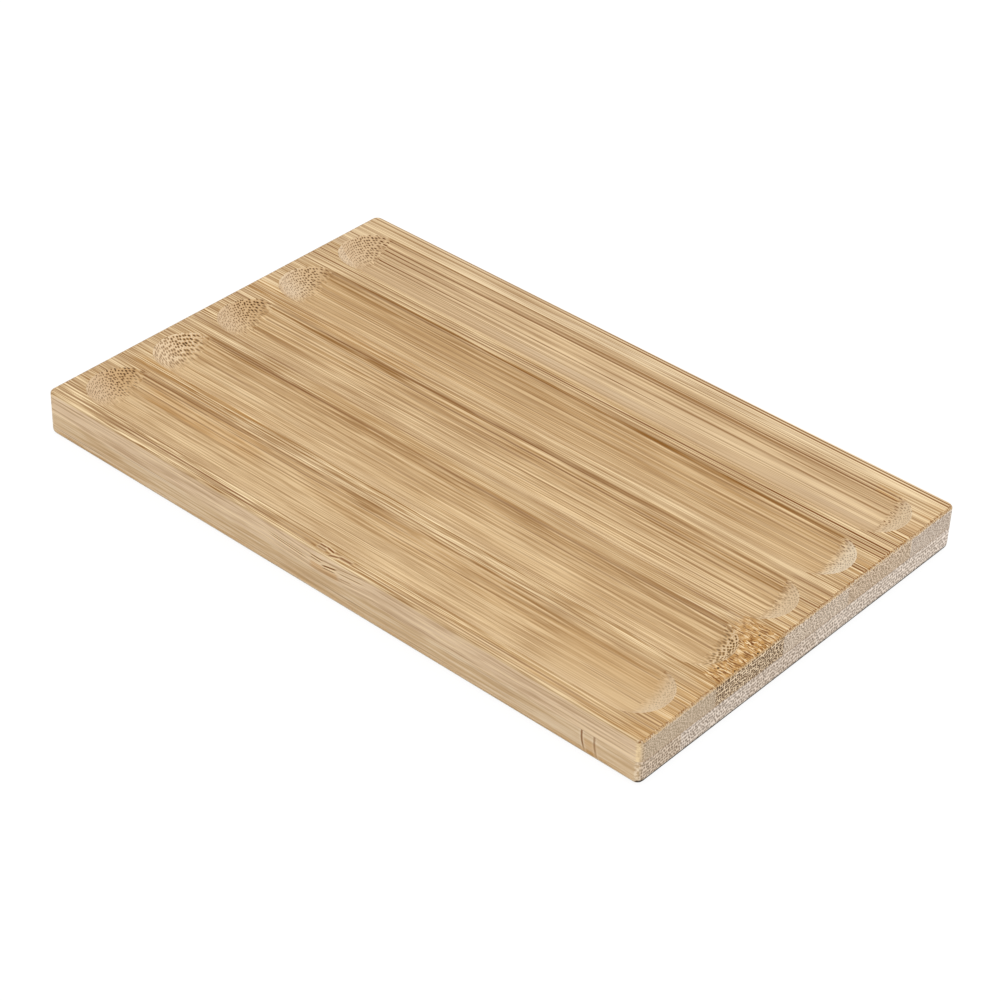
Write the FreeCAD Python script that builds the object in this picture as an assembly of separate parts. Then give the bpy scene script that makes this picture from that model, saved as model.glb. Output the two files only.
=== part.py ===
import FreeCAD, Part
import os

# Pen tray: a flat bamboo board glued up from two layers of long strips, with
# five round-bottomed grooves cut into its top, each long enough for one pen.
# +X runs along the grooves, +Y to the back, +Z up. The origin is the middle of
# the underside. All lengths are in millimetres.

# The board
length = 185.0
width = 115.2
thickness = 12.5
top_layer_thickness = 5.8

# Sanded edges
corner_radius = 1.9
top_edge_round = 0.8
bottom_edge_round = 1.8
groove_lip_round = 0.3

# The grooves, cut with a round-nosed cutter that goes straight down and along
cutter_radius = 10.0
groove_depth = 5.0
groove_length = 177.4
groove_pitch = 21.75
groove_count = 5
groove_offset_x = -0.3
groove_offset_y = -0.7

# Glue joints between the strips, as distances from the middle of the board.
# The two layers are staggered, so no joint lies over another.
top_layer_joints = [-32.5, -8.3, 15.8, 40.0]
bottom_layer_joints = [-43.8, -19.8, 4.3, 28.7, 53.0]

# How close two heights must be to count as the same, how far inside the rim
# every groove lies, and how far a strip's cutting block reaches past the board
same_height = 1e-6
rim_clearance = 1.0
block_overhang = 1.0


def rounded_board():
    """The whole board with its upright corners and its rims rounded."""
    board = Part.makeBox(length, width, thickness, FreeCAD.Vector(-length / 2, -width / 2, 0))
    board = board.makeFillet(corner_radius, edges_where(board, is_upright))
    board = board.makeFillet(top_edge_round, edges_where(board, lies_at_height(thickness)))
    return board.makeFillet(bottom_edge_round, edges_where(board, lies_at_height(0)))


def edges_where(shape, test):
    return [edge for edge in shape.Edges if test(edge)]


def is_upright(edge):
    box = edge.BoundBox
    return box.ZLength > thickness / 2


def lies_at_height(height):
    def test(edge):
        box = edge.BoundBox
        return box.ZLength < same_height and abs(box.ZMin - height) < same_height
    return test


def lip_reach():
    """How far a groove's lip is from the cutter's axis, on the board's top."""
    height_of_axis = cutter_radius - groove_depth
    return (cutter_radius ** 2 - height_of_axis ** 2) ** 0.5


def groove_middle(number):
    """The Y position of a groove, counted from 0 at the front."""
    return groove_offset_y + (number - (groove_count - 1) / 2) * groove_pitch


def cutter_path(number):
    """The space that the cutter sweeps for one groove, a bar with round ends."""
    travel = groove_length - 2 * lip_reach()
    height = thickness - groove_depth + cutter_radius
    start = FreeCAD.Vector(groove_offset_x - travel / 2, groove_middle(number), height)
    end = start + FreeCAD.Vector(travel, 0, 0)
    bar = Part.makeCylinder(cutter_radius, travel, start, FreeCAD.Vector(1, 0, 0))
    first_end = Part.makeSphere(cutter_radius, start)
    second_end = Part.makeSphere(cutter_radius, end)
    return bar.fuse([first_end, second_end]).removeSplitter()


def lies_on_a_lip(edge):
    box = edge.BoundBox
    reach_x = length / 2 - rim_clearance
    reach_y = width / 2 - rim_clearance
    inside_x = box.XMin > -reach_x and box.XMax < reach_x
    inside_y = box.YMin > -reach_y and box.YMax < reach_y
    return inside_x and inside_y and box.ZMin > thickness - same_height


def grooved_board():
    """The board with every groove cut and the lips lightly sanded."""
    board = rounded_board()
    for number in range(groove_count):
        board = board.cut(cutter_path(number))
    return board.makeFillet(groove_lip_round, edges_where(board, lies_on_a_lip))


def strip(board, front, back, low, high):
    """One bamboo strip: the part of the board between two joints of a layer."""
    block = Part.makeBox(
        length + 2 * block_overhang,
        back - front,
        high - low,
        FreeCAD.Vector(-length / 2 - block_overhang, front, low),
    )
    return board.common(block)


def layer(board, name, joints, low, high):
    """All strips of one layer, counted from 1 at the front."""
    bounds = [-width / 2] + joints + [width / 2]
    strips = {}
    for number in range(len(bounds) - 1):
        node = name + "_" + str(number + 1)
        strips[node] = strip(board, bounds[number], bounds[number + 1], low, high)
    return strips


def build():
    board = grooved_board()
    glue_line = thickness - top_layer_thickness
    pieces = layer(board, "top_strip", top_layer_joints, glue_line, thickness)
    pieces.update(layer(board, "bottom_strip", bottom_layer_joints, 0, glue_line))
    return pieces


os.makedirs("parts", exist_ok=True)
for node, shape in build().items():
    shape.exportStep("parts/" + node + ".step")
    print(node, "volume", round(shape.Volume), "mm3, solids", len(shape.Solids))
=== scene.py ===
import bpy
import math
from mathutils import Matrix, Vector


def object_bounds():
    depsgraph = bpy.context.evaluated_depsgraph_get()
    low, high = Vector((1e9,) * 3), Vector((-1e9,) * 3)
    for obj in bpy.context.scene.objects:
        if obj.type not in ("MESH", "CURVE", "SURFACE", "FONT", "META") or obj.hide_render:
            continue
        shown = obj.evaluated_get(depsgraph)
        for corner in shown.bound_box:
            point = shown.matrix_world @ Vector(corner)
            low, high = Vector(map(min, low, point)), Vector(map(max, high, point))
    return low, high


# Looks of the bamboo pen tray. All places in the materials are in millimetres
# in the tray's own frame: X along the grooves, Y to the back, Z up.

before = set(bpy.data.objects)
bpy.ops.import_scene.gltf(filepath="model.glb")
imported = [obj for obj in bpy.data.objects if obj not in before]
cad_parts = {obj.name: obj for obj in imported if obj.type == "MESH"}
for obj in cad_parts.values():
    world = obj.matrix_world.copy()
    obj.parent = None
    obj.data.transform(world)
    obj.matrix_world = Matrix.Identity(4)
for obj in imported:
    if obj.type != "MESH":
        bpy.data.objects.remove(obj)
cad_low, cad_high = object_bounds()

MM = 0.001
TOP = cad_high.z / MM
END = cad_high.x / MM
FRONT = cad_low.y / MM
GLUE_LINE = 6.7
GLUE_WIDTHS = (0.05, 0.22)

# Where parts of the board lie. Each pair says where a look starts to change and where it has changed.
GROOVE_HEIGHTS = (TOP - 2.5, TOP - 0.2)
LIP_LOWER = (TOP - 0.85, TOP - 0.5)
LIP_UPPER = (TOP - 0.35, TOP - 0.15)
END_RIM = (END - 1.3, END - 0.9)
UPRIGHT_CORNER = (END - 2.2, END - 1.9)
RIGHT_RIM = (END - 8.5, END - 1.5)
LEFT_RIM = (-END + 1.5, -END + 6.5)
RIGHT_GROOVE_ENDS = (60.0, 70.0)
FRONT_RIM = (FRONT + 0.9, FRONT + 1.2)
FRONT_SAG = (FRONT + 0.5, FRONT + 3.5)
SCAR_FOOT = (0.6, 3.5)
# Heights of the painted contact shadow along the bottom edge; at the ends it reaches higher.
FOOT_SHADOW = (1.0, 1.4)
END_FOOT_SHADOW = 0.4

# Slopes of the surface, as parts of its normal. Each pair again is the start and the end of a change,
# and past the single value at the end the bundles count as cut across.
UPWARD = (0.15, 0.35)
TOP_FACE = (0.75, 0.92)
LONG_SIDE = (0.9, 0.98)
END_FACE = (0.88, 0.98)
FAR_WALL_TOP = (-0.97, -0.9)
FAR_WALL_FOOT = (-0.75, -0.1)
NEAR_WALL_FOOT = (0.1, 0.65)
NEAR_WALL_TOP = (0.9, 0.97)
FAR_TO_NEAR = (-0.55, 0.35)
FRONT_RIM_UPPER = (0.2, 0.5)
FRONT_RIM_LOWER = (0.93, 0.995)
END_RIM_UPPER = (0.15, 0.45)
END_RIM_LOWER = (0.80, 0.97)
END_GRAIN = (0.06, 0.52)
WALL_ROWS = (0.1, 0.6)
# Where the painted contact shadow turns from the long sides to the ends.
FOOT_SHADOW_ENDS = (0.2, 0.5)
CUT_ACROSS = 0.12

# How often each pattern changes per millimetre: along the grain, across it, and upward.
SLOW_BENDS = (1 / 75, 1 / 11, 1 / 8)
QUICK_BENDS = (1 / 10, 1 / 3, 1 / 3)
KNOTS = (0.5, 1.1, 0.8)
PATCHES = (1 / 45, 1 / 4.5, 1 / 4)
BANDS = (1 / 80, 1 / 7, 1 / 6)
SPECKS = (1 / 8, 0.9, 0.9)
FINE_ACROSS, FINE_UP = 3.8, 2.0
LINES_ACROSS, LINES_UP = 2.6, 1.2
COMB_ALONG, COMB_ACROSS, COMB_UP = 1 / 32, 1.35, 0.6
TUFTS = (0.40, 2.9)
PITS = (1 / 3.6, 1 / 4.4)
COMB_DISORDER = 0.6
PITS_DISORDER = 0.9

# Between which values each pattern turns dark, or from pale back to the ground's own colour.
BAND_GOLDEN = (0.36, 0.64)
LINES_DARK, LINES_PALE = (0.48, 0.62), (0.36, 0.47)
FINE_DARK, FINE_PALE = (0.50, 0.68), (0.32, 0.47)
COMB_DARK, COMB_PALE = (0.30, 0.48), (0.10, 0.28)
RIM_LINES = (0.40, 0.60)

# Between which weights a bundle turns dark, and how far from a bundle, in cells, an end face turns pale.
STRONG = (0.86, 1.16)
CELL_PALE = (0.16, 0.62)

# The parts of a bundle, in its radii from its middle: between which distances each fades, or the
# inside of its ring grows.
CORE = (0.5, 1.25)
HALO = (1.2, 2.1)
DOT = (0.6, 1.1)
DOT_EDGE = (0.9, 1.5)
RING_INSIDE = (1.3, 1.9)
RING_OUTSIDE = (1.9, 2.6)

# A node's tufts and pits, and the strokes and scars. These fade between two multiples of their half
# width, and a stroke also tapers over a part of its length at both ends.
TUFTS_BROWN = (0.39, 0.48)
TUFTS_PALE = (0.53, 0.62)
PITS_CHOSEN = (0.35, 0.40)
PIT = (0.05, 0.10)
PIT_RING = (0.08, 0.20)
STROKE_TAPER = 0.25
STROKE, STROKE_GLOW = (0.4, 1.5), (1.2, 3.5)
SCAR, SCAR_GLOW = (0.4, 1.6), (1.5, 4.0)

# How far apart the patterns of neighbouring strips are read, and at most those of two bundles.
STRIP_SHIFT = 61.7
BUNDLE_SHIFT = 90.0

# Where the first layer of bundles lies below the top, in cells. How much the bundles' radii differ,
# as parts of the look's radius, and how much more disorder the cut faces show.
FIRST_LAYER = 0.45
RADIUS_RANGE = (0.85, 1.15)
CUT_DISORDER = 0.1

# How much an upright corner counts as end face, how much it and the rim hide the end grain, and how
# far the fine patterns shift the rim's ragged edge.
CORNER_END = 0.25
CORNER_COVER = 0.5
RIM_COVER = 0.55
RAGGEDNESS = 1.6

# What makes a bundle dark: its own chance, its patch, and the face that it lies on.
OWN_CHANCE, OWN_PATCH, START = 0.45, 0.20, 0.075
SIDE_CHANCE, GROOVE_CHANCE = -0.20, -0.06

# How far the fibres bend, in millimetres, besides the slow bends of each strip's look.
QUICK_WANDER, QUICK_DIVE = 0.08, 0.12
KNOT_WANDER, KNOT_DIVE = 1.2, 1.0
SAG_WANDER = 0.5

# The sanded surface: how rough it is, and how much rougher where the fine fibres and bundles are.
ROUGHNESS = 0.52
FINE_ROUGHNESS = 0.16
CORE_ROUGHNESS = 0.10

# How far the bundles lie below it, in millimetres, and the other heights as multiples of that.
RELIEF = 0.06
RELIEF_STRENGTH = 0.25
FINE_HEIGHT = 0.7
SPECK_HEIGHT = 0.25
PIT_DEPTH = 2.0


def paint(red, green, blue):
    """A colour as it shows on screen, 0 to 255, turned into the linear values that a shader takes."""
    def linear(value):
        share = value / 255
        return share / 12.92 if share <= 0.04045 else ((share + 0.055) / 1.055) ** 2.4
    return (linear(red), linear(green), linear(blue), 1.0)


class Shader:
    """Builds one material from nodes. Most methods return the socket that carries their result."""

    def __init__(self, name):
        self.material = bpy.data.materials.new(name)
        self.material.use_nodes = True
        self.tree = self.material.node_tree
        self.tree.nodes.clear()

    def node(self, kind, **settings):
        made = self.tree.nodes.new(kind)
        for name, value in settings.items():
            setattr(made, name, value)
        return made

    def feed(self, socket, value):
        if isinstance(value, bpy.types.NodeSocket):
            self.tree.links.new(value, socket)
        else:
            socket.default_value = value

    def math(self, operation, *values):
        made = self.node("ShaderNodeMath", operation=operation)
        for socket, value in zip(made.inputs, values):
            self.feed(socket, value)
        return made.outputs[0]

    def add(self, *values):
        total = values[0]
        for value in values[1:]:
            total = self.math("ADD", total, value)
        return total

    def times(self, *values):
        total = values[0]
        for value in values[1:]:
            total = self.math("MULTIPLY", total, value)
        return total

    def rest_of(self, share):
        """What a share leaves of 1."""
        return self.add(1.0, self.times(share, -1.0))

    def centred(self, value):
        """A pattern's value, 0 to 1, as a difference from its average."""
        return self.add(value, -0.5)

    def apart(self, value, other):
        """How far two values are apart, whichever is larger."""
        return self.math("ABSOLUTE", self.add(value, self.times(other, -1.0)))

    def rise(self, value, low, high, start=0.0, end=1.0):
        """Goes smoothly from start to end while value goes from low to high."""
        made = self.node("ShaderNodeMapRange", interpolation_type="SMOOTHSTEP")
        for socket, given in zip(made.inputs, (value, low, high, start, end)):
            self.feed(socket, given)
        return made.outputs[0]

    def fall(self, value, low, high):
        """Goes smoothly from 1 to 0 while value goes from low to high."""
        return self.rise(value, low, high, 1.0, 0.0)

    def place(self, x, y, z=0.0):
        made = self.node("ShaderNodeCombineXYZ")
        for socket, value in zip(made.inputs, (x, y, z)):
            self.feed(socket, value)
        return made.outputs[0]

    def spread(self, rates, *places):
        """The point of a pattern that belongs to a place, by the pattern's rates per millimetre."""
        return self.place(*[self.times(value, rate) for value, rate in zip(places, rates)])

    def parts_of(self, vector):
        made = self.node("ShaderNodeSeparateXYZ")
        self.feed(made.inputs[0], vector)
        return made.outputs

    def noise_node(self, vector, detail, roughness):
        made = self.node("ShaderNodeTexNoise")
        self.feed(made.inputs["Vector"], vector)
        self.feed(made.inputs["Scale"], 1.0)
        self.feed(made.inputs["Detail"], detail)
        self.feed(made.inputs["Roughness"], roughness)
        return made

    def noise(self, vector, detail=1.0):
        """Smooth random values, about 0.5 on average, that change over about one unit."""
        return self.noise_node(vector, detail, 0.5).outputs["Fac"]

    def noises(self, vector, detail=1.0, roughness=0.5):
        """Three such values that don't depend on each other."""
        return self.parts_of(self.noise_node(vector, detail, roughness).outputs["Color"])

    def cells(self, vector, randomness):
        """The distance to the middle of the nearest cell, and three random values of that cell."""
        made = self.node("ShaderNodeTexVoronoi", voronoi_dimensions="2D")
        self.feed(made.inputs["Vector"], vector)
        self.feed(made.inputs["Scale"], 1.0)
        self.feed(made.inputs["Randomness"], randomness)
        return made.outputs["Distance"], self.parts_of(made.outputs["Color"])

    def mix(self, share, first, second):
        made = self.node("ShaderNodeMix", data_type="RGBA")
        self.feed(made.inputs[0], share)
        self.feed(made.inputs[6], first)
        self.feed(made.inputs[7], second)
        return made.outputs[2]

    def show(self, surface):
        output = self.node("ShaderNodeOutputMaterial")
        self.feed(output.inputs["Surface"], surface)


class Bamboo(Shader):
    """Bamboo of one strip: dark bundles that run along X through a paler ground."""

    def __init__(self, name, seed, look, marks, strokes):
        super().__init__(name)
        self.look = look
        self.marks = marks
        self.find_places(seed)
        self.find_faces()
        self.bend_fibres()
        self.place_bundles()
        self.darken_bundles()
        self.make_patterns()
        colour = self.mix(self.end_share(), self.long_grain(), self.end_grain())
        # Painted shade on the ends' top rounded edges.
        colour = self.mix(self.times(self.rim_shade, look["rim_shade_share"]), colour, look["warm"])
        colour = self.node_fibres(colour)
        for stroke in strokes:
            colour = self.draw_stroke(colour, *stroke)
        for scar in look["scars"]:
            colour = self.draw_scar(colour, *scar)
        self.make_surface(self.paint_foot_shadow(colour))

    def find_places(self, seed):
        """Where a point of the strip lies, and which way its surface faces there."""
        coords = self.node("ShaderNodeTexCoord")
        scaled = self.node("ShaderNodeVectorMath", operation="SCALE")
        self.feed(scaled.inputs[0], coords.outputs["Object"])
        self.feed(scaled.inputs["Scale"], 1 / MM)
        self.x, self.y, self.z = self.parts_of(scaled.outputs[0])
        self.across = self.add(self.y, STRIP_SHIFT * seed)
        normal_x, self.normal_y, self.normal_z = self.parts_of(coords.outputs["Normal"])
        self.steep_x = self.math("ABSOLUTE", normal_x)
        self.steep_y = self.math("ABSOLUTE", self.normal_y)

    def find_faces(self):
        """Shares, 0 to 1, that pick out parts of the strip's surface by place and slope."""
        from_middle = self.math("ABSOLUTE", self.x)
        self.on_top = self.rise(self.normal_z, *TOP_FACE)
        self.on_side = self.rise(self.steep_y, *LONG_SIDE)
        self.off_side = self.rest_of(self.on_side)
        self.in_groove = self.times(self.fall(self.z, *GROOVE_HEIGHTS), self.off_side)
        # The grooves' far and near walls, which get painted shade and painted light.
        self.far_wall = self.times(self.fall(self.normal_y, *FAR_WALL_FOOT),
                                   self.rise(self.normal_y, *FAR_WALL_TOP))
        self.near_wall = self.times(self.rise(self.normal_y, *NEAR_WALL_FOOT),
                                    self.fall(self.normal_y, *NEAR_WALL_TOP))
        self.corner = self.times(self.rise(from_middle, *UPRIGHT_CORNER), self.fall(self.normal_z, *UPWARD))
        self.end_rim = self.times(self.rise(from_middle, *END_RIM), self.rise(self.normal_z, *UPWARD))
        # Painted shade on the ends' top rounded edges, where the lamp lights them more than the top.
        self.rim_shade = self.times(self.end_rim, self.rise(self.steep_x, *END_RIM_UPPER),
                                    self.fall(self.steep_x, *END_RIM_LOWER))
        self.cut_across = self.math("GREATER_THAN", self.steep_x, CUT_ACROSS)
        self.full_end = self.rise(self.add(self.steep_x, self.times(self.corner, CORNER_END)), *END_FACE)
        self.right_side = self.rise(self.x, *RIGHT_GROOVE_ENDS)
        self.far_side = self.fall(self.normal_y, *FAR_TO_NEAR)

    def total(self, kind):
        """The sum of this strip's marks of one kind. A mark fades to 0 over its soft widths."""
        found = [0.0]
        for mark_kind, face, low_x, high_x, low, high, soft_x, soft, amount in self.marks:
            if mark_kind != kind:
                continue
            over, shown = (self.z, self.on_side) if face == "side" else (self.y, self.off_side)
            inside = self.times(self.rise(self.x, low_x - soft_x, low_x),
                                self.fall(self.x, high_x, high_x + soft_x),
                                self.rise(over, low - soft, low), self.fall(over, high, high + soft))
            found.append(self.times(inside, shown, amount))
        return self.add(*found)

    def bend_fibres(self):
        """The bundles wander sideways a little and dive in and out of the sanded surface.

        At a node of the culm they are tangled, or sag.
        """
        look = self.look
        slow = self.noises(self.spread(SLOW_BENDS, self.x, self.across, self.z))
        quick = self.noises(self.spread(QUICK_BENDS, self.x, self.across, self.z))
        knot = self.noises(self.spread(KNOTS, self.x, self.across, self.z), detail=2.0, roughness=0.6)
        self.tangle = self.times(self.total("tangle"), self.on_top)
        sideways = self.add(self.times(self.centred(slow[0]), look["wander"]),
                            self.times(self.centred(quick[0]), QUICK_WANDER),
                            self.times(self.x, look["tilt"]),
                            self.times(self.tangle, self.centred(knot[0]), KNOT_WANDER))
        dive = self.add(self.times(self.centred(slow[1]), look["dive"]),
                        self.times(self.centred(quick[1]), QUICK_DIVE),
                        self.times(self.tangle, self.centred(knot[1]), KNOT_DIVE))
        for middle, reach, drop in look["sags"]:
            away = self.times(self.math("ABSOLUTE", self.add(self.x, -middle)), -1 / reach)
            close = self.math("MAXIMUM", self.add(1.0, away), 0.0)
            sag = self.times(self.fall(self.y, *FRONT_SAG), close, drop)
            dive = self.add(dive, self.times(sag, self.on_side))
            sideways = self.add(sideways, self.times(sag, self.on_top, close, SAG_WANDER))
        self.fibre_y = self.add(self.across, sideways)
        self.fibre_z = self.add(self.z, dive)

    def place_bundles(self):
        """Bundles are round in the end grain, and thin streaks where the surface runs along them.

        Deeper in the strip they lie closer together and are flatter.
        """
        look = self.look
        depth = self.add(TOP, self.times(self.fibre_z, -1.0))
        layered = self.add(self.times(depth, look["layers"]), self.times(depth, depth, look["squeeze"]))
        denser = self.add(1.0, self.times(self.cut_across, look["denser"]))
        along_rows = self.rise(self.steep_y, *WALL_ROWS, look["flat_rows"], 1.0)
        rows = self.add(self.times(self.rest_of(self.cut_across), along_rows),
                        self.times(self.cut_across, 1 + look["thinner"]))
        point = self.place(self.times(self.fibre_y, denser, 1 / look["spacing"]),
                           self.add(self.times(layered, rows), FIRST_LAYER))
        disorder = self.add(look["disorder"], self.times(self.cut_across, CUT_DISORDER))
        self.distance, self.chance = self.cells(point, disorder)
        smallest, largest = [look["radius"] * part for part in RADIUS_RANGE]
        radius = self.rise(self.chance[1], 0.0, 1.0, smallest, largest)
        bolder = self.add(1.0, self.times(self.full_end, look["bolder"]))
        # The distance to the bundle's middle, counted in its radii.
        self.reach = self.math("DIVIDE", self.distance, self.times(radius, bolder))
        self.core = self.fall(self.reach, *CORE)
        self.halo = self.fall(self.reach, *HALO)

    def darken_bundles(self):
        """Which bundles are dark, and where along their length."""
        shifts = [self.times(value, BUNDLE_SHIFT) for value in self.chance[:2]]
        own_place = self.add(self.times(self.x, 1 / self.look["run"]), shifts[0])
        along = self.noise(self.place(own_place, shifts[1]))
        patch = self.noise(self.spread(PATCHES, self.x, self.across, self.z))
        weight = self.add(along, self.times(self.chance[2], OWN_CHANCE), self.times(patch, OWN_PATCH), START,
                          self.total("dark"), self.times(self.on_side, SIDE_CHANCE),
                          self.times(self.in_groove, GROOVE_CHANCE))
        self.strong = self.rise(weight, *STRONG)

    def make_patterns(self):
        """Fine fibres, regular faint lines, a comb of still more regular ones, and specks."""
        fine_rates = (1 / self.look["dash"], FINE_ACROSS, FINE_UP)
        line_rates = (0.5 / self.look["run"], LINES_ACROSS, LINES_UP)
        self.fine = self.noise(self.spread(fine_rates, self.x, self.fibre_y, self.fibre_z))
        self.lines = self.noise(self.spread(line_rates, self.x, self.fibre_y, self.fibre_z))
        comb_rows = self.add(self.times(self.fibre_y, COMB_ACROSS), self.times(self.fibre_z, COMB_UP))
        self.comb = self.cells(self.place(self.times(self.x, COMB_ALONG), comb_rows), COMB_DISORDER)[0]
        self.speck = self.noise(self.spread(SPECKS, self.x, self.fibre_y, self.fibre_z), detail=2.0)

    def ground(self):
        """The wood between the bundles: broad bands, the tones of rims, painted light on the grooves' near
        walls and painted shade on their far walls, and the marks.
        """
        look = self.look
        band = self.noise(self.spread(BANDS, self.x, self.across, self.z))
        front_rim = self.times(self.rise(self.steep_y, *FRONT_RIM_UPPER),
                               self.fall(self.steep_y, *FRONT_RIM_LOWER), self.fall(self.y, *FRONT_RIM))
        tones = [
            (self.on_side, look["side_cover"], "side"),
            (self.in_groove, look["groove_lift"], "light"),
            # Painted light on the near walls and painted shade on the far walls.
            (self.near_wall, look["near_wall_light"], "near_slope_light"),
            (self.far_wall, look["far_shade"], "far_wall_shade"),
            (self.times(self.rise(self.x, *RIGHT_RIM), self.on_top), look["rim_cover"], "rim"),
            (self.times(self.fall(self.x, *LEFT_RIM), self.on_top), look["left_rim_cover"], "left_rim"),
            (front_rim, look["front_rim_lift"], "light"),
            (self.math("MINIMUM", self.total("golden"), 1.0), 1.0, "honey"),
            (self.total("shade"), 1.0, "warm"),
            (self.total("light"), 1.0, "light"),
        ]
        ground = self.mix(self.rise(band, *BAND_GOLDEN), look["pale"], look["golden"])
        for share, amount, tone in tones:
            ground = self.mix(self.times(share, amount), ground, look[tone])
        return ground

    def lined_ground(self, calm):
        """The ground with its fine patterns: darker where a pattern is high, paler where it is low."""
        look = self.look
        patterns = [
            (self.lines, look["line_depth"], LINES_DARK, LINES_PALE),
            (self.fine, look["fine_depth"], FINE_DARK, FINE_PALE),
            (self.comb, look["comb_depth"], COMB_DARK, COMB_PALE),
        ]
        ground = self.ground()
        for pattern, most, dark, pale in patterns:
            depth = self.times(calm, most)
            ground = self.mix(self.times(self.rise(pattern, *dark), depth), ground, look["warm"])
            ground = self.mix(self.times(self.fall(pattern, *pale), depth), ground, look["light"])
        return ground

    def long_grain(self):
        """Faces along the grain: bundles as brown streaks, pale on both sides."""
        look = self.look
        calm = self.add(1.0, self.times(self.in_groove, -look["groove_calm"]),
                        self.times(self.on_side, -look["side_calm"]), self.total("bold"))
        plain = self.times(calm, look["streak_low"])
        beside = self.times(self.halo, self.add(self.times(self.strong, look["strong_halo"]),
                                                self.times(plain, look["plain_halo"])))
        streak = self.times(self.core, self.add(self.times(self.strong, look["streak_high"]), plain))
        # Painted shade: a thin dark line just below each far lip.
        lip = self.times(self.far_wall, self.rise(self.z, *LIP_LOWER), self.fall(self.z, *LIP_UPPER))
        # Along the ends' top rims the lines darken as streaks, partly painted shade.
        rim_lines = self.rise(self.lines, *RIM_LINES, *look["rim_streaks"])
        colour = self.mix(beside, self.lined_ground(calm), look["light"])
        for share in (streak, self.times(lip, look["lip"]), self.times(self.rim_shade, rim_lines)):
            colour = self.mix(share, colour, look["streak"])
        return colour

    def end_share(self):
        """How much of the end grain a point shows: all of it on steep faces, ragged along the rim."""
        uneven = [self.times(self.centred(pattern), RAGGEDNESS) for pattern in (self.lines, self.fine)]
        ragged = self.times(self.end_rim, self.add(*uneven, -RIM_COVER))
        return self.rise(self.add(self.steep_x, ragged, self.times(self.corner, -CORNER_COVER)), *END_GRAIN)

    def end_grain(self):
        """The same bundles as dots in pale rings. The grooves' ends show them at a slant."""
        look = self.look
        dark, pale = [paint(*[value + step for value in look["end"]])
                      for step in (-look["end_spread"], look["end_spread"])]
        # Painted light and shade, as on the walls: the groove ends are paler on the near side, darker on the
        # far side, and their dots fade on the near side.
        slope = self.mix(self.far_side, look["near_slope_light"], look["slope_far"])
        slope = self.mix(self.times(self.right_side, look["right_cover"]), slope, look["slope_right"])
        between = self.add(self.distance, self.times(self.centred(self.speck), look["speckled"]))
        from_glue = self.math("ABSOLUTE", self.add(self.z, -GLUE_LINE))
        glue = self.rise(from_glue, *GLUE_WIDTHS, look["glue"], 0.0)
        end_face = self.mix(glue, self.mix(self.rise(between, *CELL_PALE), dark, pale), look["dot_edge"])
        colour = self.mix(self.full_end, slope, end_face)

        dots_left, dots_right, dots_end = look["dots"]
        on_slope = self.times(self.rise(self.right_side, 0.0, 1.0, dots_left, dots_right),
                              self.rise(self.far_side, 0.0, 1.0, look["near_dots"], 1.0))
        amount = self.add(self.times(on_slope, self.rest_of(self.full_end)),
                          self.times(self.full_end, dots_end))
        ring = self.times(self.rise(self.reach, *RING_INSIDE), self.fall(self.reach, *RING_OUTSIDE),
                          look["rings"])
        edge = self.times(self.fall(self.reach, *DOT_EDGE), amount, look["edges"])
        dot = self.times(self.fall(self.reach, *DOT), amount,
                         self.rise(self.chance[2], 0.0, 1.0, look["faintest_dot"], 1.0))
        for share, tone in ((ring, "ring"), (edge, "dot_edge"), (dot, "dot")):
            colour = self.mix(share, colour, look[tone])
        return colour

    def node_fibres(self, colour):
        """A node's short golden and brown fibres, with a few dark pits between them."""
        look = self.look
        tufts = self.noise(self.spread(TUFTS, self.x, self.fibre_y))
        tuft_colour = self.mix(self.rise(tufts, *TUFTS_BROWN), look["umber"], look["tuft"])
        palest = self.rise(tufts, *TUFTS_PALE, 0.0, look["tuft_lift"])
        tuft_colour = self.mix(palest, tuft_colour, look["light"])
        colour = self.mix(self.times(self.tangle, look["tuft_cover"]), colour, tuft_colour)
        distance, chance = self.cells(self.spread(PITS, self.x, self.y), PITS_DISORDER)
        chosen = self.times(self.tangle, self.rise(chance[0], *PITS_CHOSEN))
        ring = self.times(chosen, self.fall(distance, *PIT_RING))
        self.pit = self.times(chosen, self.fall(distance, *PIT))
        colour = self.mix(self.times(ring, look["pit_ring"]), colour, look["honey"])
        return self.mix(self.times(self.pit, look["pit"]), colour, look["dot"])

    def drawn(self, off, half_width, widths):
        """1 on a drawn line. It falls to 0 between the given multiples of the line's half width."""
        return self.fall(off, *[half_width * width for width in widths])

    def draw_stroke(self, colour, face, x_1, over_1, x_2, over_2, half_width, amount):
        """A single dark stroke with a pale glow beside it."""
        over, shown = (self.z, self.on_side) if face == "side" else (self.y, self.on_top)
        line = self.add(over_1, self.times(self.add(self.x, -x_1), (over_2 - over_1) / (x_2 - x_1)))
        off = self.apart(over, line)
        soft = STROKE_TAPER * (x_2 - x_1)
        length = self.times(self.rise(self.x, x_1, x_1 + soft), self.fall(self.x, x_2 - soft, x_2), shown)
        glow = self.times(self.drawn(off, half_width, STROKE_GLOW), length, amount, self.look["stroke_glow"])
        stroke = self.times(self.drawn(off, half_width, STROKE), length, amount)
        return self.mix(stroke, self.mix(glow, colour, self.look["light"]), self.look["stroke"])

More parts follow.
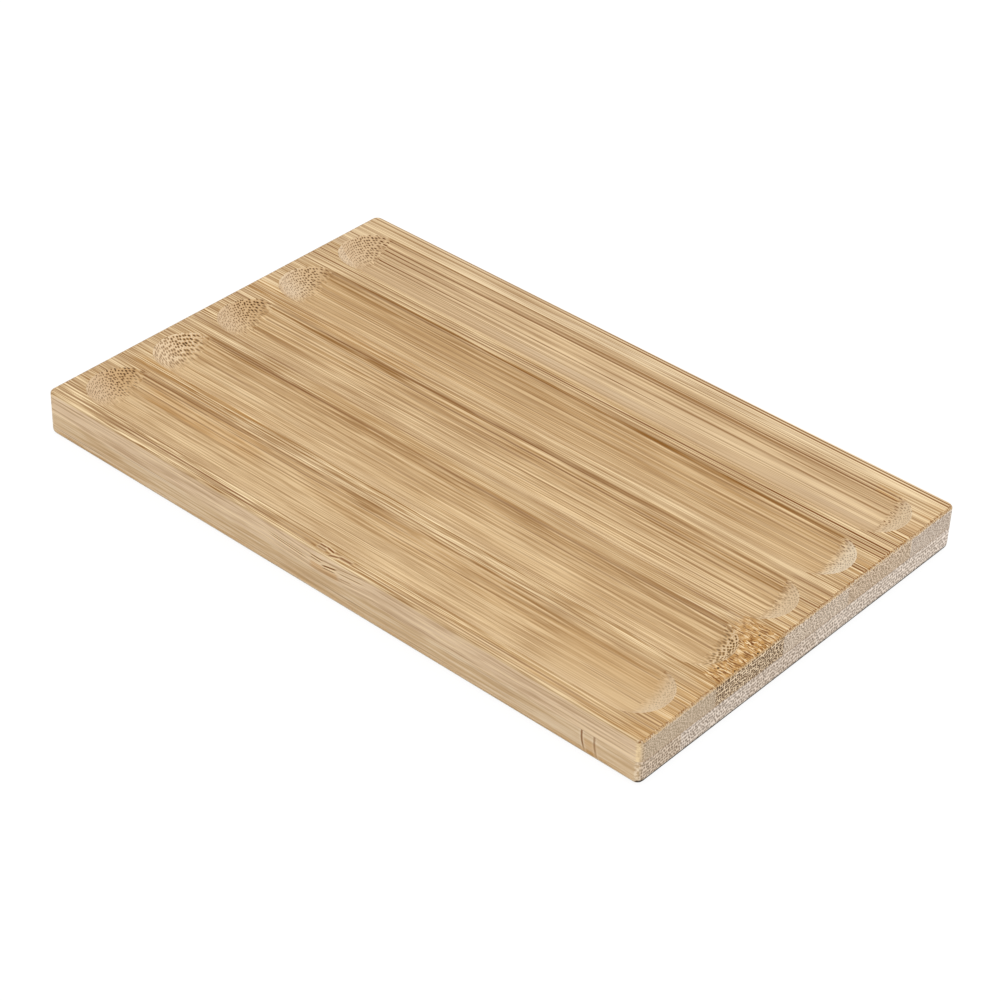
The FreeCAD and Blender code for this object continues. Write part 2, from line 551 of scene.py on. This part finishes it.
    def draw_scar(self, colour, high_x, low_x, half_width, amount):
        """A curved scar on the long side, where a node was cut through."""
        fallen = self.rise(self.z, GLUE_LINE, 0.0)
        off = self.apart(self.x, self.add(high_x, self.times(fallen, fallen, low_x - high_x)))
        glow = self.times(self.on_side, self.drawn(off, half_width, SCAR_GLOW),
                          self.look["scar_glow"] * amount)
        scar = self.times(self.on_side, self.drawn(off, half_width, SCAR),
                          self.rise(self.z, *SCAR_FOOT), amount)
        return self.mix(scar, self.mix(glow, colour, self.look["light"]), self.look["stroke"])

    def paint_foot_shadow(self, colour):
        """Painted contact shadow: the board's lowest edge is a little dark, most of all along its ends."""
        foot_shadow = self.fall(self.add(self.z, self.times(self.steep_x, -END_FOOT_SHADOW)), *FOOT_SHADOW)
        share = self.times(foot_shadow, self.rise(self.steep_x, *FOOT_SHADOW_ENDS, *self.look["foot_shades"]))
        return self.mix(share, colour, self.look["foot_shadow"])

    def make_surface(self, colour):
        """Satin, with bundles that stand a hair below the sanded ground."""
        rough = self.add(ROUGHNESS, self.times(self.centred(self.fine), FINE_ROUGHNESS),
                         self.times(self.core, CORE_ROUGHNESS))
        height = self.add(self.times(self.core, -1.0), self.times(self.fine, FINE_HEIGHT),
                          self.times(self.speck, SPECK_HEIGHT), self.times(self.pit, -PIT_DEPTH))
        bump = self.node("ShaderNodeBump")
        bump.inputs["Strength"].default_value = RELIEF_STRENGTH
        bump.inputs["Distance"].default_value = RELIEF * MM
        self.feed(bump.inputs["Height"], height)
        shader = self.node("ShaderNodeBsdfPrincipled")
        self.feed(shader.inputs["Base Color"], colour)
        self.feed(shader.inputs["Roughness"], rough)
        self.feed(shader.inputs["Normal"], bump.outputs[0])
        shader.inputs["Specular IOR Level"].default_value = 0.1
        self.show(shader.outputs[0])


TOP_LOOK = {
    # How the bundles lie, in cells with the given spacing, and their radius in cells. Flat rows says
    # how fast the layers follow on faces along the grain. Denser and thinner are for cut faces.
    "spacing": 0.86,
    "layers": 1.10,
    "squeeze": 0.12,
    "disorder": 0.45,
    "flat_rows": 0.24,
    "denser": 0.34,
    "thinner": 0.34,
    "radius": 0.30,
    "bolder": 0.0,
    # How the fibres bend, and over what length streaks and fine fibres change.
    "tilt": 0.003,
    "wander": 0.4,
    "dive": 0.45,
    "run": 22,
    "dash": 12,
    # Sags are middle X, reach and drop. Scars are X above, X below, half width and amount.
    "sags": [],
    "scars": [],
    # How much of each pattern and tone shows, and how much painted light and shade goes on the grooves'
    # walls and far lips, the ends' top rims and the bottom edge.
    "streak_low": 0.52,
    "streak_high": 0.42,
    "line_depth": 0.80,
    "fine_depth": 0.70,
    "comb_depth": 0.22,
    "strong_halo": 0.25,
    "plain_halo": 0.5,
    "groove_lift": 0.34,
    "groove_calm": 0.45,
    "side_calm": 0.58,
    "side_cover": 0.75,
    "near_wall_light": 0.45,
    "far_shade": 0.25,
    "lip": 0.3,
    "rim_cover": 0.6,
    "left_rim_cover": 0.5,
    "front_rim_lift": 0.8,
    "rim_streaks": (0.05, 0.75),
    "rim_shade_share": 0.22,
    "foot_shades": (0.2, 0.9),
    "stroke_glow": 0.6,
    "scar_glow": 0.35,
    "tuft_cover": 0.85,
    "tuft_lift": 0.85,
    "pit": 0.9,
    "pit_ring": 0.6,
    # Colours of faces along the grain.
    "pale": paint(203, 170, 125),
    "golden": paint(197, 158, 106),
    "honey": paint(202, 150, 80),
    "warm": paint(142, 95, 36),
    "light": paint(252, 226, 182),
    "streak": paint(126, 74, 18),
    "side": paint(235, 210, 180),
    "rim": paint(212, 164, 100),
    "left_rim": paint(189, 159, 125),
    # Painted shade on the grooves' far walls.
    "far_wall_shade": paint(180, 132, 68),
    "stroke": paint(126, 74, 20),
    "umber": paint(120, 70, 20),
    "tuft": paint(198, 150, 88),
    # Painted contact shadow along the bottom edge.
    "foot_shadow": paint(30, 27, 24),
    # The end grain's colours and amounts, and how far the end face's own colour goes up and down.
    # Painted light on the grooves' near walls and on the near side of their ends.
    "near_slope_light": paint(222, 195, 160),
    "slope_far": paint(213, 178, 131),
    "slope_right": paint(231, 210, 178),
    "end_spread": 40,
    "speckled": 0.35,
    "right_cover": 0.75,
    "glue": 0.4,
    "ring": paint(240, 218, 184),
    "rings": 0.25,
    "edges": 0.4,
    "near_dots": 0.55,
    "faintest_dot": 0.7,
    "dot": paint(62, 32, 6),
    "dot_edge": paint(160, 110, 50),
}
BOTTOM_LOOK = dict(
    TOP_LOOK,
    spacing=0.66,
    layers=1.5,
    squeeze=0.0,
    denser=0.25,
    thinner=-0.25,
    radius=0.27,
    wander=0.7,
    dive=1.0,
    streak_low=0.14,
    streak_high=0.5,
    line_depth=0.9,
    fine_depth=1.0,
    groove_lift=0.0,
    pale=paint(214, 188, 152),
    golden=paint(206, 174, 128),
    warm=paint(172, 134, 88),
    light=paint(240, 220, 190),
    streak=paint(136, 92, 46),
    side=paint(218, 189, 150),
    end_spread=42,
    dot=paint(104, 80, 58),
    dot_edge=paint(150, 124, 98),
    dots=(0.5, 0.4, 0.45),
)

# What sets each strip apart from its layer's look. End is the mean colour of its end face, and
# dots are how much the dots show at the grooves' left and right ends and on the end face.
# A mark is kind, face, low and high X, low and high Y (or Z on the long side), soft width along X,
# soft width across, and amount. Its kind is dark for darker bundles, bold for stronger patterns,
# golden, shade or light for the tone of the ground, and tangle for the fibres of a node.
# A stroke is face, X and Y (or Z on the long side) of one end and of the other, half width, and amount.
STRIPS = {
    "top_strip_1": {
        "look": {
            "sags": [(-1.5, 17.0, 1.3)],
            "wander": 0.6,
            "dive": 0.6,
            "run": 20,
            "dash": 11,
            "streak_low": 0.30,
            "fine_depth": 0.65,
            "groove_lift": 0.38,
            "far_shade": 0.34,
            "end": (187, 167, 142),
            "end_spread": 26,
            "rings": 0.05,
            "dots": (1.0, 0.3, 0.1),
        },
        "marks": [
            ("dark", "top", -81, -62, -38.6, -35.4, 4.0, 0.5, 0.35),
            ("dark", "top", -60, -20, -38.0, -36.6, 8.0, 0.5, 0.25),
            ("dark", "top", -81, -64, -42.4, -41.0, 6.0, 0.5, 0.20),
            ("dark", "top", -70, 60, -52.0, -40.0, 8.0, 1.0, -0.16),
            ("dark", "side", -9, 9, 7.6, 10.6, 5.0, 0.6, 0.20),
            ("bold", "top", -92, -30, -58.0, -53.5, 15.0, 0.6, 0.5),
            ("bold", "top", 60, 93, -58.0, -32.5, 10.0, 0.5, -0.3),
            ("shade", "top", -86, -30, -34.8, -32.5, 10.0, 0.8, 0.30),
            ("light", "top", 50, 76, -34.6, -32.5, 8.0, 0.5, 0.12),
            ("light", "top", -92, -30, -58.0, -53.5, 15.0, 0.6, 0.18),
            ("golden", "side", -3, 4, 7.4, 8.6, 1.5, 0.5, 0.5),
            ("golden", "top", -84, -52, -35.4, -32.5, 6.0, 1.0, 0.7),
            ("golden", "top", -74, -44, -39.5, -36.0, 8.0, 0.8, 0.5),
            ("golden", "top", 20, 88, -56.6, -55.2, 14.0, 0.5, 0.4),
            ("golden", "top", -3, 8, -56.6, -55.2, 2.0, 0.5, 0.4),
        ],
        "strokes": [
            ("side", -4.2, 10.6, 0.9, 10.5, 0.18, 0.9),
            ("side", -4.2, 9.85, 0.0, 9.75, 0.18, 0.8),
            ("side", -0.6, 9.1, 5.0, 10.2, 0.24, 1.0),
            ("side", -0.5, 8.5, 4.4, 9.1, 0.18, 0.75),
            ("side", -18.0, 9.5, -3.2, 8.55, 0.17, 0.75),
            ("side", -18.5, 10.0, -4.0, 9.2, 0.15, 0.7),
            ("side", -16.5, 7.8, -3.5, 7.15, 0.14, 0.4),
            ("side", 4.0, 10.6, 13.5, 12.0, 0.15, 0.6),
            ("side", 4.0, 9.5, 13.5, 10.4, 0.17, 0.7),
            ("side", 4.6, 8.2, 9.5, 8.7, 0.17, 0.6),
            ("side", -84.0, 8.4, -50.0, 8.5, 0.10, 0.35),
            ("side", 60.0, 11.3, 91.0, 11.2, 0.16, 0.45),
            ("top", -3.3, -55.3, 0.0, -55.3, 0.34, 1.0),
            ("top", -1.2, -55.05, 2.3, -55.65, 0.28, 1.0),
            ("top", -3.3, -56.05, 0.4, -56.05, 0.26, 0.8),
            ("top", 1.0, -57.1, 4.6, -55.85, 0.34, 0.85),
            ("top", 3.2, -55.9, 8.2, -55.75, 0.34, 0.85),
            ("top", 10.0, -56.0, 60.0, -55.8, 0.22, 0.5),
            ("top", 16.0, -56.7, 84.0, -56.6, 0.20, 0.5),
            ("top", 8.0, -55.5, 14.5, -55.45, 0.15, 0.4),
            ("top", -16.0, -54.2, -4.0, -54.1, 0.14, 0.35),
            ("top", -16.0, -55.2, -4.0, -55.2, 0.14, 0.4),
            ("top", -16.0, -56.25, -6.0, -56.3, 0.16, 0.5),
            ("top", -10.0, -56.6, -4.0, -56.6, 0.14, 0.45),
        ],
    },
    "top_strip_2": {
        "look": {
            "layers": 1.12,
            "squeeze": 0.05,
            "flat_rows": 0.30,
            "denser": 0.2,
            "thinner": 0.2,
            "radius": 0.32,
            "bolder": 0.2,
            "dive": 0.7,
            "run": 24,
            "dash": 14,
            "streak_low": 0.34,
            "slope_right": paint(206, 172, 122),
            "end": (192, 169, 139),
            "end_spread": 34,
            "ring": paint(246, 224, 190),
            "rings": 1.0,
            "dot": paint(40, 20, 4),
            "dots": (0.9, 1.0, 1.0),
        },
        "marks": [
            ("golden", "top", -84, -48, -32.5, -30.8, 6.0, 0.5, 0.7),
            ("shade", "top", -86, -30, -32.5, -30.8, 10.0, 0.5, 0.30),
            ("light", "top", 50, 76, -32.5, -31.0, 8.0, 0.5, 0.20),
            ("tangle", "top", 85, 93, -16.5, -9.6, 6.0, 1.5, 0.9),
            ("tangle", "top", 88.5, 93, -30.5, -15.0, 2.0, 1.5, 1.0),
            ("bold", "top", -40, 66, -14.0, -8.3, 10.0, 0.8, -0.45),
        ],
        "strokes": [
            ("top", 66.0, -13.8, 80.0, -13.7, 0.30, 0.75),
            ("top", 78.0, -10.6, 83.0, -10.4, 0.20, 0.6),
            ("top", 78.5, -11.8, 84.0, -12.0, 0.18, 0.6),
        ],
    },
    "top_strip_3": {
        "look": {
            "run": 34,
            "dash": 18,
            "streak_low": 0.40,
            "groove_calm": 0.3,
            "pale": paint(207, 174, 129),
            "golden": paint(201, 162, 110),
            "end": (194, 177, 158),
            "dots": (1.0, 0.35, 0.4),
        },
        "marks": [
            ("golden", "top", -88, -42, 8.5, 13.5, 16.0, 0.8, 0.5),
            ("golden", "top", 48, 62, 12.8, 15.8, 6.0, 0.5, 0.6),
            ("shade", "top", -75, -42, 8.5, 13.5, 12.0, 0.8, 0.20),
            ("shade", "top", -75, -35, -7.0, 5.0, 10.0, 2.0, 0.08),
            ("light", "top", 30, 86, -7.0, 5.0, 20.0, 2.0, 0.12),
            ("light", "top", 76, 90, 8.5, 13.5, 6.0, 0.8, 0.20),
            ("light", "top", 30, 90, 8.5, 13.5, 15.0, 0.8, 0.14),
            ("bold", "top", -60, 70, 8.5, 13.5, 10.0, 0.8, -0.3),
            ("bold", "top", 83, 93, -9.0, 16.0, 3.0, 0.5, 0.5),
            ("dark", "top", -60, 20, 5.2, 7.6, 10.0, 0.4, 0.14),
        ],
    },
    "top_strip_4": {
        "look": {
            "wander": 0.3,
            "run": 45,
            "dash": 24,
            "pale": paint(192, 155, 105),
            "golden": paint(187, 145, 89),
            "rim": paint(190, 135, 62),
            "near_slope_light": paint(230, 207, 176),
            "slope_far": paint(220, 189, 146),
            "slope_right": paint(242, 229, 205),
            "end": (188, 166, 141),
            "dots": (0.95, 0.5, 0.4),
        },
        "marks": [
            ("light", "top", 60, 86, 15.8, 27.0, 10.0, 2.0, 0.08),
            ("bold", "top", 60, 93, 31.0, 36.0, 8.0, 0.8, 0.5),
            ("bold", "top", 83, 93, 15.0, 40.0, 3.0, 0.5, 0.5),
        ],
    },
    "top_strip_5": {
        "look": {
            "disorder": 0.3,
            "wander": 0.2,
            "dive": 0.3,
            "run": 90,
            "dash": 50,
            "streak_low": 0.80,
            "streak_high": 0.38,
            "line_depth": 0.65,
            "fine_depth": 0.5,
            "groove_lift": 0.0,
            "groove_calm": 0.15,
            "far_shade": 0.36,
            "pale": paint(212, 186, 152),
            "golden": paint(208, 178, 139),
            "rim": paint(192, 140, 74),
            "far_wall_shade": paint(164, 112, 50),
            "slope_far": paint(220, 190, 150),
            "end": (190, 175, 160),
            "end_spread": 38,
            "dots": (0.95, 0.4, 0.45),
        },
        "marks": [
            ("light", "top", -92, 92, 51.6, 58.0, 5.0, 0.4, 0.08),
            ("dark", "top", -88, 80, 49.4, 51.2, 10.0, 0.3, 0.14),
            ("dark", "top", -70, 42, 47.0, 48.7, 12.0, 0.3, 0.30),
            ("dark", "top", -75, 30, 44.1, 44.7, 12.0, 0.3, 0.30),
            ("dark", "top", 30, 80, 45.2, 46.2, 12.0, 0.3, 0.20),
            ("dark", "top", -90, 90, 40.0, 43.5, 5.0, 0.5, -0.20),
            ("bold", "top", -90, 90, 40.0, 43.5, 5.0, 0.5, -0.40),
            ("bold", "top", 10, 93, 51.6, 58.0, 40.0, 0.3, 0.35),
            ("golden", "top", 76, 82, 50.6, 52.4, 2.0, 0.4, 0.9),
        ],
    },
    "bottom_strip_1": {
        "look": {
            "scars": [(76.6, 77.9, 0.25, 0.85), (80.1, 81.2, 0.27, 0.6)],
            "end": (184, 165, 145),
        },
        "marks": [
            ("golden", "side", -90, 90, 0.4, 1.6, 4.0, 0.8, 0.30),
            ("golden", "side", 77.6, 80.4, 0.4, 4.0, 0.8, 1.5, 0.45),
            ("dark", "side", -91, -76, 2.4, 3.0, 3.0, 0.3, 0.5),
        ],
        "strokes": [
            ("side", -92.0, 2.6, -70.0, 2.7, 0.14, 0.5),
            ("side", -75.0, 6.4, -45.0, 6.4, 0.10, 0.45),
        ],
    },
    "bottom_strip_2": {"look": {"end": (198, 184, 171)}},
    "bottom_strip_3": {"look": {"end": (195, 179, 164)}},
    "bottom_strip_4": {"look": {"end": (200, 186, 173)}},
    "bottom_strip_5": {"look": {"end": (204, 190, 177)}},
    "bottom_strip_6": {"look": {"end": (206, 192, 181)}},
}


def dress_strips():
    for seed, node_name in enumerate(sorted(STRIPS), start=1):
        base = TOP_LOOK if node_name.startswith("top") else BOTTOM_LOOK
        strip = STRIPS[node_name]
        look = dict(base, **strip["look"])
        bamboo = Bamboo("bamboo_" + node_name, seed, look, strip.get("marks", []), strip.get("strokes", []))
        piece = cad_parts[node_name]
        piece.data.materials.clear()
        piece.data.materials.append(bamboo.material)


# The floor: white paper. The camera sees mostly an even glow, so that its shadows stay faint.
FLOOR_SIZE = 4.0
FLOOR_WHITE = (0.85, 0.85, 0.85, 1)
FLOOR_GLOW = 1.08
FLOOR_GLOW_SHARE = 0.84


def make_floor():
    bpy.ops.mesh.primitive_plane_add(size=FLOOR_SIZE, location=(0, 0, 0))
    floor = bpy.context.object
    floor.name = "floor"
    s = Shader("floor_white")
    path = s.node("ShaderNodeLightPath")
    white = s.node("ShaderNodeBsdfDiffuse")
    white.inputs["Color"].default_value = FLOOR_WHITE
    glow = s.node("ShaderNodeEmission")
    glow.inputs["Strength"].default_value = FLOOR_GLOW
    both = s.node("ShaderNodeMixShader")
    s.feed(both.inputs[0], s.times(path.outputs["Is Camera Ray"], FLOOR_GLOW_SHARE))
    s.feed(both.inputs[1], white.outputs[0])
    s.feed(both.inputs[2], glow.outputs[0])
    s.show(both.outputs[0])
    floor.data.materials.append(s.material)


# The room: soft white light from all sides, and plain white where the camera looks past the floor.
ROOM_LIGHT = 0.98
ROOM_SEEN = 1.0


def make_world():
    world = bpy.data.worlds.new("studio")
    bpy.context.scene.world = world
    world.use_nodes = True
    tree = world.node_tree
    tree.nodes.clear()
    path = tree.nodes.new("ShaderNodeLightPath")
    choose = tree.nodes.new("ShaderNodeMixShader")
    output = tree.nodes.new("ShaderNodeOutputWorld")
    tree.links.new(path.outputs["Is Camera Ray"], choose.inputs[0])
    for socket, strength in ((choose.inputs[1], ROOM_LIGHT), (choose.inputs[2], ROOM_SEEN)):
        white = tree.nodes.new("ShaderNodeBackground")
        white.inputs["Color"].default_value = (1, 1, 1, 1)
        white.inputs["Strength"].default_value = strength
        tree.links.new(white.outputs[0], socket)
    tree.links.new(choose.outputs[0], output.inputs[0])


# The lamp: a soft round one behind the tray on the right, turned to the tray.
LAMP_PLACE = Vector((0.55, 0.5, 0.8))
LAMP_SIZE = 0.7
LAMP_POWER = 1.2


def make_lamp():
    data = bpy.data.lights.new("soft_key", "AREA")
    data.shape = "DISK"
    data.size = LAMP_SIZE
    data.energy = LAMP_POWER
    lamp = bpy.data.objects.new("soft_key", data)
    lamp.location = LAMP_PLACE
    lamp.rotation_euler = (-LAMP_PLACE).to_track_quat("-Z", "Y").to_euler()
    bpy.context.scene.collection.objects.link(lamp)


# The camera: it looks at a point at the height of the tray's top, from the front right.
CAMERA_TURN = math.radians(40.125)
CAMERA_HEIGHT = math.radians(36.555)
CAMERA_ROLL = math.radians(2.382)
CAMERA_DISTANCE = 650.4 * MM
CAMERA_TARGET = Vector((15.50, -14.83, TOP)) * MM
CAMERA_LENS = 101.62
CAMERA_SENSOR = 36
CAMERA_NEAREST = 0.01
CAMERA_FARTHEST = 10


def make_camera():
    flat = math.cos(CAMERA_HEIGHT)
    back = Vector((math.sin(CAMERA_TURN) * flat, -math.cos(CAMERA_TURN) * flat, math.sin(CAMERA_HEIGHT)))
    level = Vector((math.cos(CAMERA_TURN), math.sin(CAMERA_TURN), 0))
    upright = back.cross(level)
    right = level * math.cos(CAMERA_ROLL) + upright * math.sin(CAMERA_ROLL)
    up = upright * math.cos(CAMERA_ROLL) - level * math.sin(CAMERA_ROLL)
    data = bpy.data.cameras.new("camera")
    data.sensor_width = CAMERA_SENSOR
    data.lens = CAMERA_LENS
    data.clip_start = CAMERA_NEAREST
    data.clip_end = CAMERA_FARTHEST
    camera = bpy.data.objects.new("camera", data)
    pose = Matrix((right, up, back)).transposed().to_4x4()
    pose.translation = CAMERA_TARGET + back * CAMERA_DISTANCE
    camera.matrix_world = pose
    bpy.context.scene.collection.objects.link(camera)
    bpy.context.scene.camera = camera


dress_strips()
make_floor()
make_world()
make_lamp()
make_camera()
bpy.context.scene.view_settings.view_transform = "Standard"
